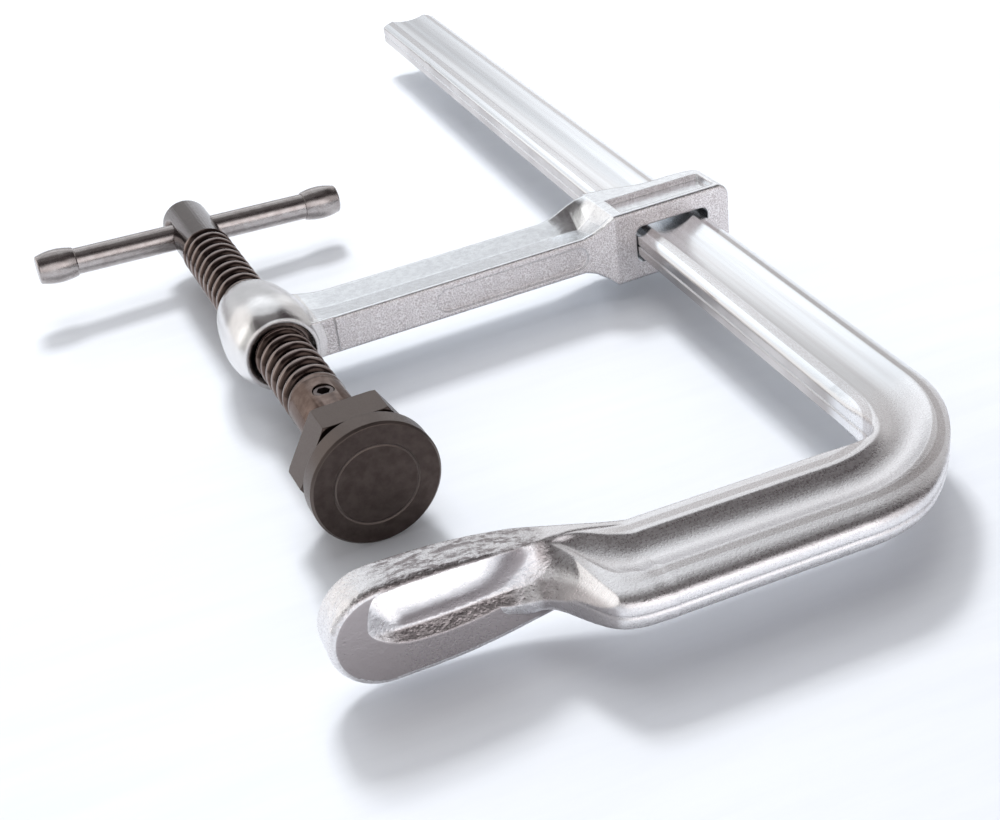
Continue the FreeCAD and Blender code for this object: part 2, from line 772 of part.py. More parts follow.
def make_sliding_arm():
    body = make_blade().fuse([make_housing(), make_boss_flare(), make_boss()]).removeSplitter()
    step = Part.makeBox(boss_step_end, 1.0 + boss_step_depth, slide_arm_height,
                        V(0, arm_front - 1.0, -slide_half))
    step = step.cut(make_boss())
    body = body.cut([step, name_pocket(), window_cutter(), boss_bore()])
    return leaned(body)


# Spindle group

def turned(shape):
    """Turn a spindle piece to the shown angle, then lean it with the arm."""
    shape.rotate(V(0, 0, 0), Y_AXIS, spindle_turn)
    return leaned(shape)


def make_spindle():
    c = spindle_chamfer
    body = revolve_y([
        (0, spindle_end), (collar_radius - c, spindle_end), (collar_radius, spindle_end + c),
        (collar_radius, thread_start), (spindle_radius, thread_start + c),
        (spindle_radius, head_start - c), (head_radius, head_start),
        (head_radius, spindle_top - c), (head_radius - c, spindle_top), (0, spindle_top),
    ])
    bore_depth = stud_clearance + shank_length + stud_clearance
    bore = Part.makeCylinder(shank_radius + shank_gap, bore_depth, V(0, spindle_end, 0), Y_AXIS)
    hole = Part.makeCylinder(grub_radius + grub_gap, 2.0 * collar_radius, V(0, grub_axis, 0), Z_AXIS)
    reach = 2.0 * head_radius
    r = bar_radius + bar_hole_gap
    cross = Part.makeCylinder(r, 2.0 * reach, V(-reach, bar_axis, 0), X_AXIS)
    mouth = 1.2
    depth = head_radius - mouth * 1.6
    for side in (1, -1):
        cone = Part.makeCone(r, r + 2.0 * mouth, 2.0 * mouth, V(side * depth, bar_axis, 0),
                             V(side, 0, 0))
        cross = cross.fuse(cone)
    return turned(body.cut([bore, hole, cross]))


def make_grub_screw():
    tip = shank_radius - grub_groove_depth + grub_point_gap
    top = math.sqrt(collar_radius ** 2 - grub_radius ** 2)
    c = 0.4
    cone = shank_radius + grub_point_gap
    screw = revolve_y([
        (0, tip), (grub_radius - 1.6, tip), (grub_radius, cone),
        (grub_radius, top - c), (grub_radius - c, top), (0, top),
    ])
    screw.rotate(V(0, 0, 0), X_AXIS, 90)
    screw.translate(V(0, grub_axis, 0))
    corner = grub_socket / math.sqrt(3.0)
    points = []
    for i in range(6):
        a = math.radians(60.0 * i)
        points.append(V(corner * math.cos(a), grub_axis + corner * math.sin(a), top))
    socket = prism(polygon(points), V(0, 0, -grub_socket_depth))
    return turned(screw.cut(socket))


def barrel_outline():
    """Outline of a barrel end as (distance along the bar, radius) from its inner side."""
    return [(0.0, barrel_inner_radius), (0.45 * barrel_length, barrel_radius),
            (0.7 * barrel_length, barrel_radius - 0.25), (barrel_length - 1.2, barrel_outer_radius)]


def make_tommy_bar():
    """Bar with one upset end; the other end stops inside the pressed-on cap."""
    left = -bar_offset - bar_length / 2.0
    right = -bar_offset + bar_length / 2.0
    seat_end = right - barrel_length + cap_seat
    barrel = [V(left + barrel_length - u, r, 0) for u, r in barrel_outline()]
    face = V(left, barrel_outer_radius - 1.2, 0)
    start = barrel[0]
    edges = [
        line(V(left, 0, 0), face),
        conic(face, V(left, barrel_outer_radius, 0), barrel[-1]),
        spline(barrel[::-1]),
        line(start, V(start.x + 0.4, bar_radius, 0)),
        line(V(start.x + 0.4, bar_radius, 0), V(seat_end, bar_radius, 0)),
        line(V(seat_end, bar_radius, 0), V(seat_end, 0, 0)),
        line(V(seat_end, 0, 0), V(left, 0, 0)),
    ]
    bar = Part.Face(Part.Wire(edges)).revolve(V(0, 0, 0), X_AXIS, 360)
    bar.translate(V(0, bar_axis, 0))
    return turned(bar)


def make_tommy_bar_cap():
    right = -bar_offset + bar_length / 2.0
    start = right - barrel_length
    seat_end = start + cap_seat + press_gap
    bore = bar_radius + press_gap
    barrel = [V(start + u, r, 0) for u, r in barrel_outline()]
    face = V(right, barrel_outer_radius - 1.2, 0)
    edges = [
        line(V(start, bore, 0), barrel[0]),
        spline(barrel),
        conic(barrel[-1], V(right, barrel_outer_radius, 0), face),
        line(face, V(right, 0, 0)),
        line(V(right, 0, 0), V(seat_end, 0, 0)),
        line(V(seat_end, 0, 0), V(seat_end, bore, 0)),
        line(V(seat_end, bore, 0), V(start, bore, 0)),
    ]
    cap = Part.Face(Part.Wire(edges)).revolve(V(0, 0, 0), X_AXIS, 360)
    cap.translate(V(0, bar_axis, 0))
    return turned(cap)


def make_ball_stud():
    """Ball, neck and grooved shank in one turned piece."""
    neck_reach = math.sqrt(ball_radius ** 2 - neck_radius ** 2)
    shoulder = spindle_end + stud_clearance
    end = shoulder + shank_length - stud_clearance
    g = grub_groove_width / 2.0
    deep = shank_radius - grub_groove_depth
    c = 0.6
    outline = [
        V(neck_radius, ball_centre + neck_reach, 0), V(neck_radius, shoulder - 1.2, 0),
        V(shank_radius, shoulder, 0), V(shank_radius, grub_axis - g - grub_groove_depth, 0),
        V(deep, grub_axis - g, 0), V(deep, grub_axis + g, 0),
        V(shank_radius, grub_axis + g + grub_groove_depth, 0), V(shank_radius, end - c, 0),
        V(shank_radius - c, end, 0), V(0, end, 0), V(0, ball_centre - ball_radius, 0),
    ]
    edges = [line(a, b) for a, b in zip(outline[:-1], outline[1:])]
    side = V(ball_radius, ball_centre, 0)
    edges.append(arc(outline[-1], side, outline[0]))
    stud = Part.Face(Part.Wire(edges)).revolve(V(0, 0, 0), Y_AXIS, 360)
    return leaned(stud)


def ring_plane():
    """Where the ring sits behind the ball's centre, clear of the ball by the socket's gap."""
    reach = ball_radius + ring_wire_radius + socket_gap
    return ball_centre + math.sqrt(reach ** 2 - ring_radius ** 2)


def make_retaining_ring():
    """Open wire ring behind the ball."""
    circle = Part.makeCircle(ring_wire_radius, V(ring_radius, ring_plane(), 0), Z_AXIS)
    ring = Part.Face(Part.Wire(circle)).revolve(V(0, 0, 0), Y_AXIS, 360.0 - ring_opening)
    return leaned(ring)


def make_pressure_plate():
    """Round pad with a hexagon neck, a ball socket and a groove for the ring."""
    c = plate_chamfer
    disc = revolve_y([
        (0, plate_face), (plate_radius - c, plate_face), (plate_radius, plate_face + c),
        (plate_radius, disc_rear), (plate_undercut_radius, disc_rear + 0.6),
        (plate_undercut_radius, hexagon_front), (0, hexagon_front),
    ])
    corner = plate_hexagon / math.sqrt(3.0)
    points = []
    for i in range(6):
        a = math.radians(60.0 * i)
        points.append(V(corner * math.cos(a), hexagon_front, corner * math.sin(a)))
    hexagon = prism(polygon(points), V(0, plate_hexagon_height, 0))
    crown = revolve_y([
        (0, hexagon_front), (corner - c, hexagon_front), (corner + c, hexagon_front + c),
        (corner + c, hexagon_rear - c), (corner - c, hexagon_rear), (0, hexagon_rear),
    ])
    body = disc.fuse(hexagon.common(crown))
    bore = ball_radius + socket_gap
    groove = ring_radius + ring_wire_radius + socket_gap
    half = ring_wire_radius + socket_gap
    middle = ring_plane()
    edges = [
        arc(V(0, ball_centre - bore, 0),
            V(bore * math.sqrt(0.5), ball_centre - bore * math.sqrt(0.5), 0),
            V(bore, ball_centre, 0)),
    ]
    outline = [
        V(bore, ball_centre, 0), V(bore, middle - half, 0), V(groove, middle - half, 0),
        V(groove, middle + half, 0), V(bore, middle + half, 0), V(bore, hexagon_rear - c, 0),
        V(bore + 2.0 * c, hexagon_rear + c, 0), V(0, hexagon_rear + c, 0),
        V(0, ball_centre - bore, 0),
    ]
    edges += [line(a, b) for a, b in zip(outline[:-1], outline[1:])]
    socket = Part.Face(Part.Wire(edges)).revolve(V(0, 0, 0), Y_AXIS, 360)
    w = plate_ring_width / 2.0
    ring_mark = revolve_y([
        (plate_ring_radius - w, plate_face - 1.0), (plate_ring_radius + w, plate_face - 1.0),
        (plate_ring_radius + w, plate_face), (plate_ring_radius, plate_face + plate_ring_depth),
        (plate_ring_radius - w, plate_face),
    ])
    return leaned(body.cut([socket, ring_mark]))


def main():
    os.makedirs("parts", exist_ok=True)
    save("rail_with_fixed_jaw", make_rail_with_fixed_jaw())
    save("sliding_arm", make_sliding_arm())
    save("spindle", make_spindle())
    save("grub_screw", make_grub_screw())
    save("tommy_bar", make_tommy_bar())
    save("tommy_bar_cap", make_tommy_bar_cap())
    save("ball_stud", make_ball_stud())
    save("retaining_ring", make_retaining_ring())
    save("pressure_plate", make_pressure_plate())


main()
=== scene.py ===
import math
from types import SimpleNamespace

import bmesh
import bpy
from mathutils import Matrix, Vector


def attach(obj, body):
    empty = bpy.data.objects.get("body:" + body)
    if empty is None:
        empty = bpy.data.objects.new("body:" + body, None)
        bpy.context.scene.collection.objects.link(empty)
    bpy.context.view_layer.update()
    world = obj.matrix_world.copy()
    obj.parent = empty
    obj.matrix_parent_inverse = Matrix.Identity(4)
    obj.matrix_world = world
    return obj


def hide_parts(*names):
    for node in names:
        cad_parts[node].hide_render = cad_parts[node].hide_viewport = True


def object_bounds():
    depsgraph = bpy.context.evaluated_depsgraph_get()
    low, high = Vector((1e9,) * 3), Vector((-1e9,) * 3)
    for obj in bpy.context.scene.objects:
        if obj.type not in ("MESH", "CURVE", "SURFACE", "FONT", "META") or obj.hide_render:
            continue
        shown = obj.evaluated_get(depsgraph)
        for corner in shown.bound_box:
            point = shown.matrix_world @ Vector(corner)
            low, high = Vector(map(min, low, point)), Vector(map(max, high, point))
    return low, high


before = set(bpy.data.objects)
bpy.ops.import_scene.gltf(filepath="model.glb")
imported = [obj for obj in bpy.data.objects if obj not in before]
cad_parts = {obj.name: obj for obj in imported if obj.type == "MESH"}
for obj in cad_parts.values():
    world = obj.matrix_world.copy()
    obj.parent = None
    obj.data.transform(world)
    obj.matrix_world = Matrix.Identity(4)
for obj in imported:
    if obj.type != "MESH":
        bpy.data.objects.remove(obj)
cad_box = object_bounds()

# Lengths are in metres and in the frame of the solids: the origin is the centre of the fixed
# jaw's clamping face, +Y runs along the rail and +Z is up. An azimuth and an elevation are in
# degrees. Colours are linear red, green and blue.

MM = 0.001

# Camera, fitted to the photograph. The sensor's width is in millimetres.
CAMERA_AZIMUTH = -107.729
CAMERA_ELEVATION = 31.926
CAMERA_ROLL = -7.563
CAMERA_DISTANCE = 459.06 * MM
NEAREST_SEEN = 0.01
FARTHEST_SEEN = 20.0
SENSOR_WIDTH = 36.0
FOCAL_PIXELS = 1474.91
IMAGE_WIDTH = 1000
IMAGE_HEIGHT = 820
ANCHOR = Vector((0.0, 83.5 * MM, 0.0))
ANCHOR_PIXEL = (334.0, 444.5)

# Pose of the slack sliding arm and of the spindle in it
ARM_LEAN = math.radians(3.18)
LEAN_PIVOT = Vector((140.0 * MM, 157.7 * MM, 0.0))
SPINDLE_TURN = math.radians(2.4)

# Direction from the boss to the pad, and a point on the spindle's axis
SPINDLE_WAY = (math.sin(ARM_LEAN), -math.cos(ARM_LEAN), 0.0)
SPINDLE_POINT = (LEAN_PIVOT.x * (1.0 - math.cos(ARM_LEAN)) + LEAN_PIVOT.y * math.sin(ARM_LEAN),
                 LEAN_PIVOT.y * (1.0 - math.cos(ARM_LEAN)) - LEAN_PIVOT.x * math.sin(ARM_LEAN), 0.0)

# Spindle thread, and how much of a pitch it takes to run out at either end
THREAD_START = 116.5 * MM
THREAD_LENGTH = 140.0 * MM
THREAD_PITCH = 6.25 * MM
THREAD_RADIUS = 10.15 * MM
THREAD_DEPTH = 2.1 * MM
THREAD_CHAMFER = 1.0 * MM
THREAD_RUN_OUT = 0.35
THREAD_SIDES = 96

# One pitch of the rounded thread, as (share of the pitch, share of the depth)
THREAD_PROFILE = ((0.00, 1.0), (0.11, 0.97), (0.19, 0.80), (0.26, 0.52), (0.32, 0.28),
                  (0.39, 0.10), (0.47, 0.01), (0.56, 0.0), (0.65, 0.01), (0.73, 0.10),
                  (0.80, 0.28), (0.86, 0.52), (0.92, 0.80), (0.97, 0.97))

# A face of the solid's plain wall may pass the thread's ends by the slack and is at least this long
WALL_SLACK = 0.02 * MM
WALL_LENGTH = 1.0 * MM

# Points this near are joined, and an edge this steep stays sharp
WELD_DISTANCE = 0.005 * MM
SHARP_ANGLE = math.radians(32.0)

# Turning centre of the heel, about which the bar's draw lines bend
HEEL_X = 118.0 * MM
HEEL_Y = 17.5 * MM

# How much the draw lines change along the bar, as a share of how much they change across it
LINE_SHARE = 0.012

# Most of a noise lies between these two values
NOISE_LOW = 0.3
NOISE_HIGH = 0.7

BEVEL_SAMPLES = 6

# Places on the rail where something fades in or out, as (start, end)
FORGED_Y = (2.0 * MM, 24.0 * MM)
JAW_X = (30.0 * MM, 36.0 * MM)
SIDE_Y = (18.0 * MM, 26.0 * MM)
HATCH_X = (44.0 * MM, 60.0 * MM)
SLOPE_Z = (-5.0 * MM, -3.0 * MM)
TOP_X = (-17.0 * MM, -9.0 * MM)

# Bands on the rail, as (middle, half the width, fade at the edge)
INNER_HATCH = (26.3 * MM, 1.1 * MM, 0.3 * MM)
OUTER_HATCH = (46.8 * MM, 1.0 * MM, 0.3 * MM)
NECK_X = (35.0 * MM, 6.0 * MM, 2.0 * MM)
NECK_Z = (-7.0 * MM, 9.0 * MM, 2.0 * MM)

# Faces of the rail, as (direction, least match, full match)
SIDE_FACE = ((-1.0, 0.0, 0.0), 0.70, 0.95)
BACK_FACE = ((0.0, -1.0, 0.0), 0.970, 0.996)
LEDGE_FACE = ((0.0, -0.7, 0.7), 0.90, 0.97)
SLOPE_FACE = ((0.0, -0.96, -0.27), 0.94, 0.98)
TOP_FACE = ((0.0, 0.0, 1.0), 0.55, 0.80)

# How the normal leans on the slope of the jaw's recess
SLOPE_TILT = (0.0, -0.1, 0.8)

# Two shades of one surface
RAIL_ZINC = ((0.74, 0.745, 0.76), (0.92, 0.945, 0.97))
# Painted shade of the rail's inner side, streaked by its draw lines
RAIL_SIDE_SHADE = ((0.36, 0.33, 0.32), (0.58, 0.55, 0.535))
ARM_BROAD = ((0.84, 0.855, 0.88), (0.93, 0.95, 0.97))
ARM_FRONT = ((0.54, 0.495, 0.495), (0.99, 0.965, 0.97))
SPINDLE_STEEL = ((0.120, 0.084, 0.071), (0.170, 0.127, 0.110))
SCREW_STEEL = ((0.12, 0.10, 0.10), (0.20, 0.17, 0.16))
BAR_STEEL = ((0.37, 0.335, 0.325), (0.47, 0.44, 0.43))
WIRE_STEEL = ((0.30, 0.29, 0.28), (0.42, 0.41, 0.40))
PLATE_FRONT = ((0.060, 0.045, 0.040), (0.086, 0.067, 0.060))
FLOOR_PAINT = ((0.685, 0.715, 0.765), (0.715, 0.745, 0.79))

# How strongly the painted shade shows on the rail's side
SIDE_SHADE_STRENGTH = 0.9

# Tints laid over a surface, as (colour, strength)
RAIL_FORGED = ((0.94, 0.925, 0.935), 0.75)
RAIL_HATCH = ((0.44, 0.40, 0.39), 1.0)
RAIL_SPECK = ((0.50, 0.46, 0.46), 1.0)
# Painted shade on the jaw's back face
RAIL_BACK_SHADE = ((0.40, 0.36, 0.365), 0.9)
# Painted shade on the ledge of the jaw's recess
RAIL_LEDGE_SHADE = ((0.36, 0.325, 0.325), 0.8)
# Painted highlight on the slope of the jaw's recess
RAIL_SLOPE_HIGHLIGHT = ((0.96, 0.965, 0.975), 1.0)
RAIL_TOP = ((0.32, 0.29, 0.295), 1.0)
# Painted shade at the jaw's neck
RAIL_NECK_SHADE = ((0.36, 0.325, 0.33), 0.7)
# Painted highlight along the jaw's edges
RAIL_EDGE_HIGHLIGHT = ((0.90, 0.895, 0.905), 0.3)
ARM_BOSS = ((0.74, 0.72, 0.71), 0.7)
# Painted highlight along the arm's edges
ARM_EDGE_HIGHLIGHT = ((0.96, 0.955, 0.965), 0.8)
# Painted highlight on the thread's crests
THREAD_CREST_HIGHLIGHT = ((0.30, 0.25, 0.235), 0.7)

# Plain colours that a mask mixes with the shades above
# Painted shade in the thread's roots
THREAD_ROOT_SHADE = (0.012, 0.009, 0.008)
# Painted light on the pad's faces other than its clamping face
PLATE_LIT_SIDES = (0.125, 0.102, 0.092)

WHITE = (1.0, 1.0, 1.0)

# Distances from the spindle's axis where something fades in or out
BOSS_RADII = (16.6 * MM, 17.6 * MM)
ROOT_RADII = (8.2 * MM, 9.9 * MM)
CREST_RADII = (9.7 * MM, 10.1 * MM)

# Floor: half its width, how metallic it is and how much it glows in the picture
FLOOR_HALF = 3.0
FLOOR_METALLIC = 0.12
FLOOR_GLOW = 0.03

# Soft studio lights, as (azimuth, elevation, reach in degrees, strength, colour), and the share
# of the reach that is at full strength
GLOWS = (
    (142.0, 22.0, 36.0, 0.96, (1.02, 1.0, 0.98)),
    (85.0, 15.0, 36.0, 0.58, (0.97, 1.0, 1.03)),
    (35.0, 15.0, 36.0, 0.58, (1.0, 1.0, 1.0)),
    (-50.0, 15.0, 34.0, 0.72, (1.02, 0.99, 1.0)),
    (-92.0, 14.0, 36.0, 1.20, (1.02, 0.99, 1.0)),
    (-140.0, 20.0, 34.0, 0.30, (1.0, 1.0, 1.0)),
    (178.0, 25.0, 34.0, 0.50, (1.0, 1.0, 0.97)),
    (85.0, 50.0, 30.0, 0.72, (0.96, 1.0, 1.03)),
    (85.0, 86.0, 30.0, 0.15, (1.0, 1.0, 1.0)),
)
GLOW_CORE = 0.6
AMBIENT = (0.060, 0.050, 0.052)

# Lamps for the floor's shadow, as (name, azimuth, elevation, distance, size, power)
LAMPS = (
    ("overhead", 80.0, 80.0, 1.8, 1.20, 12.0),
    ("behind", 78.0, 50.0, 2.4, 0.50, 53.0),
)
LAMP_AIM = Vector((0.07, 0.16, 0.0))


def direction(azimuth, elevation):
    """Unit vector that points to an azimuth and elevation."""
    around = math.radians(azimuth)
    above = math.radians(elevation)
    return Vector((math.cos(above) * math.cos(around),
                   math.cos(above) * math.sin(around),
                   math.sin(above)))


def look_matrix():
    """World matrix of a camera that sees the anchor at its pixel."""
    back = direction(CAMERA_AZIMUTH, CAMERA_ELEVATION)
    roll = math.radians(CAMERA_ROLL)
    ahead = -back
    level = ahead.cross(Vector((0, 0, 1))).normalized()
    upright = level.cross(ahead)
    right = level * math.cos(roll) + upright * math.sin(roll)
    up = upright * math.cos(roll) - level * math.sin(roll)
    across = (ANCHOR_PIXEL[0] - IMAGE_WIDTH / 2) / FOCAL_PIXELS * CAMERA_DISTANCE
    above = -(ANCHOR_PIXEL[1] - IMAGE_HEIGHT / 2) / FOCAL_PIXELS * CAMERA_DISTANCE
    matrix = Matrix((right, up, back)).transposed().to_4x4()
    matrix.translation = ANCHOR - right * across - up * above - ahead * CAMERA_DISTANCE
    return matrix


def add_camera():
    """Camera at the photograph's viewing angle."""
    data = bpy.data.cameras.new("camera")
    data.sensor_fit = "HORIZONTAL"
    data.sensor_width = SENSOR_WIDTH
    data.lens = SENSOR_WIDTH * FOCAL_PIXELS / IMAGE_WIDTH
    data.clip_start = NEAREST_SEEN
    data.clip_end = FARTHEST_SEEN
    camera = bpy.data.objects.new("camera", data)
    bpy.context.collection.objects.link(camera)
    camera.matrix_world = look_matrix()
    bpy.context.scene.camera = camera


class Nodes:
    """Small builder for the node tree of a material or of the world."""

    def __init__(self, owner, coordinates="Object"):
        owner.use_nodes = True
        self.tree = owner.node_tree
        self.tree.nodes.clear()
        self.coords = self.add("ShaderNodeTexCoord").outputs[coordinates]

    def add(self, kind, **settings):
        node = self.tree.nodes.new(kind)
        for key, value in settings.items():
            setattr(node, key, value)
        return node

    def link(self, source, target):
        """Feed an input from another node's output, a number, a direction or a colour."""
        if isinstance(source, bpy.types.NodeSocket):
            self.tree.links.new(source, target)
        elif target.type == "RGBA":
            target.default_value = (*source, 1.0)
        else:
            target.default_value = source

    def math(self, operation, a, b=0.0, clamp=False):
        node = self.add("ShaderNodeMath", operation=operation, use_clamp=clamp)
        self.link(a, node.inputs[0])
        self.link(b, node.inputs[1])
        return node.outputs[0]

    def times(self, a, b):
        return self.math("MULTIPLY", a, b)

    def plus(self, a, b, clamp=False):
        return self.math("ADD", a, b, clamp)

    def minus(self, a, b, clamp=False):
        return self.math("SUBTRACT", a, b, clamp)

    def vector(self, operation, a, b):
        """Sum, difference or cross product of two directions."""
        node = self.add("ShaderNodeVectorMath", operation=operation)
        self.link(a, node.inputs[0])
        self.link(b, node.inputs[1])
        return node.outputs["Vector"]

    def match(self, a, b):
        """How far two directions agree, up to 1."""
        node = self.add("ShaderNodeVectorMath", operation="DOT_PRODUCT")
        self.link(a, node.inputs[0])
        self.link(b, node.inputs[1])
        return node.outputs["Value"]

    def scaled(self, way, share):
        node = self.add("ShaderNodeVectorMath", operation="SCALE")
        self.link(way, node.inputs[0])
        self.link(share, node.inputs["Scale"])
        return node.outputs["Vector"]

    def stretch(self, scale):
        """Coordinates that a noise reads when it is stretched along an axis."""
        node = self.add("ShaderNodeMapping")
        self.link(self.coords, node.inputs["Vector"])
        self.link(scale, node.inputs["Scale"])
        return node.outputs["Vector"]

    def noise(self, scale, detail, rough, stretch=None):
        node = self.add("ShaderNodeTexNoise")
        vector = self.coords if stretch is None else self.stretch(stretch)
        self.link(vector, node.inputs["Vector"])
        self.link(scale, node.inputs["Scale"])
        self.link(detail, node.inputs["Detail"])
        self.link(rough, node.inputs["Roughness"])
        return node.outputs["Fac"]

    def ramp(self, value, low, high, start, end):
        """Smooth change from start to end while the value goes from low to high."""
        node = self.add("ShaderNodeMapRange", interpolation_type="SMOOTHSTEP")
        self.link(value, node.inputs["Value"])
        self.link(low, node.inputs["From Min"])
        self.link(high, node.inputs["From Max"])
        self.link(start, node.inputs["To Min"])
        self.link(end, node.inputs["To Max"])
        return node.outputs["Result"]

    def rise(self, value, low, high):
        return self.ramp(value, low, high, 0.0, 1.0)

    def fall(self, value, low, high):
        return self.ramp(value, low, high, 1.0, 0.0)

    def spread(self, noise, start, end, low=NOISE_LOW, high=NOISE_HIGH):
        """Noise stretched to run from start to end."""
        return self.ramp(noise, low, high, start, end)

    def band(self, value, middle, half, edge):
        """1 where a value is within half of the middle, fading to 0 over the edge."""
        off = self.math("ABSOLUTE", self.minus(value, middle))
        return self.fall(off, half, half + edge)

    def mix(self, factor, a, b):
        node = self.add("ShaderNodeMix", data_type="RGBA")
        self.link(factor, node.inputs["Factor"])
        self.link(a, node.inputs["A"])
        self.link(b, node.inputs["B"])
        return node.outputs["Result"]

    def shades(self, noise, pair, low=NOISE_LOW, high=NOISE_HIGH):
        """Two shades of one surface, mixed by a noise."""
        return self.mix(self.rise(noise, low, high), *pair)

    def tint(self, colour, mask, tone, strength):
        """Another colour laid over the first one where the mask says so."""
        factor = mask if strength == 1.0 else self.times(mask, strength)
        return self.mix(factor, colour, tone)

    def axis(self, name):
        node = self.add("ShaderNodeSeparateXYZ")
        self.link(self.coords, node.inputs[0])
        return node.outputs[name]

    def distance_from_spindle(self):
        """How far a point is from the spindle's axis."""
        offset = self.vector("SUBTRACT", self.coords, SPINDLE_POINT)
        node = self.add("ShaderNodeVectorMath", operation="LENGTH")
        self.link(self.vector("CROSS_PRODUCT", offset, SPINDLE_WAY), node.inputs[0])
        return node.outputs["Value"]

    def across_bar(self):
        """Distance outwards from the heel's turning centre, straight across either leg."""
        over = self.math("MAXIMUM", self.minus(self.axis("X"), HEEL_X), 0.0)
        under = self.math("MAXIMUM", self.minus(HEEL_Y, self.axis("Y")), 0.0)
        return self.math("SQRT", self.plus(self.times(over, over), self.times(under, under)))

    def drawn_lines(self, scale, detail):
        """Noise that varies across the bent bar and hardly along it."""
        along = self.minus(self.axis("Y"), self.axis("X"))
        place = self.add("ShaderNodeCombineXYZ")
        self.link(self.across_bar(), place.inputs["X"])
        self.link(self.times(along, LINE_SHARE), place.inputs["Y"])
        noise = self.add("ShaderNodeTexNoise")
        self.link(place.outputs[0], noise.inputs["Vector"])
        self.link(scale, noise.inputs["Scale"])
        self.link(detail, noise.inputs["Detail"])
        return noise.outputs["Fac"]

    def true_normal(self):
        return self.add("ShaderNodeNewGeometry").outputs["Normal"]

    def facing(self, way, low, high):
        """Share from 0 to 1 of how far the surface faces a fixed direction."""
        return self.rise(self.match(self.true_normal(), way), low, high)

    def soft_edges(self, radius):
        """Normal that shows the edges rounded."""
        node = self.add("ShaderNodeBevel", samples=BEVEL_SAMPLES)
        self.link(radius, node.inputs["Radius"])
        return node.outputs["Normal"]

    def edges(self, soft, low, high):
        """1 on edges, where the rounded normal leaves the true one; it carries the painted edge
        highlights.
        """
        return self.fall(self.match(soft, self.true_normal()), low, high)

    def tilt(self, normal, way, share):
        """Normal leaned towards a fixed direction."""
        unit = self.add("ShaderNodeVectorMath", operation="NORMALIZE")
        self.link(self.vector("ADD", normal, self.scaled(way, share)), unit.inputs[0])
        return unit.outputs[0]

    def bump(self, height, distance, strength, normal=None):
        node = self.add("ShaderNodeBump")
        self.link(strength, node.inputs["Strength"])
        self.link(distance, node.inputs["Distance"])
        self.link(height, node.inputs["Height"])
        if normal is not None:
            self.link(normal, node.inputs["Normal"])
        return node.outputs["Normal"]

    def metal(self, colour, roughness, normal, metallic=1.0):
        """Shader of a metal, joined to the material's output."""
        shader = self.add("ShaderNodeBsdfPrincipled")
        self.link(metallic, shader.inputs["Metallic"])
        self.link(colour, shader.inputs["Base Color"])
        self.link(roughness, shader.inputs["Roughness"])
        self.link(normal, shader.inputs["Normal"])
        output = self.add("ShaderNodeOutputMaterial")
        self.link(shader.outputs[0], output.inputs["Surface"])
        return shader


def rail_masks(nodes):
    """Where the parts of the rail's surface lie, as shares from 0 to 1."""
    forged = nodes.fall(nodes.axis("Y"), *FORGED_Y)
    jaw = nodes.fall(nodes.axis("X"), *JAW_X)
    side = nodes.times(nodes.facing(*SIDE_FACE), nodes.rise(nodes.axis("Y"), *SIDE_Y))
    back = nodes.times(jaw, nodes.facing(*BACK_FACE))
    wall = nodes.minus(jaw, back, clamp=True)
    ledge = nodes.times(wall, nodes.facing(*LEDGE_FACE))
    slope = nodes.times(wall, nodes.facing(*SLOPE_FACE))
    slope = nodes.times(slope, nodes.rise(nodes.axis("Z"), *SLOPE_Z))
    top = nodes.times(wall, nodes.facing(*TOP_FACE))
    top = nodes.times(top, nodes.rise(nodes.axis("X"), *TOP_X))
    neck = nodes.times(nodes.band(nodes.axis("X"), *NECK_X), nodes.band(nodes.axis("Z"), *NECK_Z))
    neck = nodes.times(neck, nodes.minus(1.0, slope))
    return SimpleNamespace(forged=forged, jaw=jaw, side=side, back=back, wall=wall, ledge=ledge,
                           slope=slope, top=top, neck=neck)


def hatch_mask(nodes):
    """Two hatched bands along the bar, which fade out towards the neck."""
    across = nodes.across_bar()
    bands = nodes.plus(nodes.band(across, *INNER_HATCH), nodes.band(across, *OUTER_HATCH), clamp=True)
    strokes = nodes.noise(scale=3200.0, detail=2.0, rough=0.7)
    strokes = nodes.times(nodes.ramp(strokes, low=0.36, high=0.60, start=0.35, end=1.0), 0.7)
    return nodes.times(nodes.times(bands, strokes), nodes.rise(nodes.axis("X"), *HATCH_X))


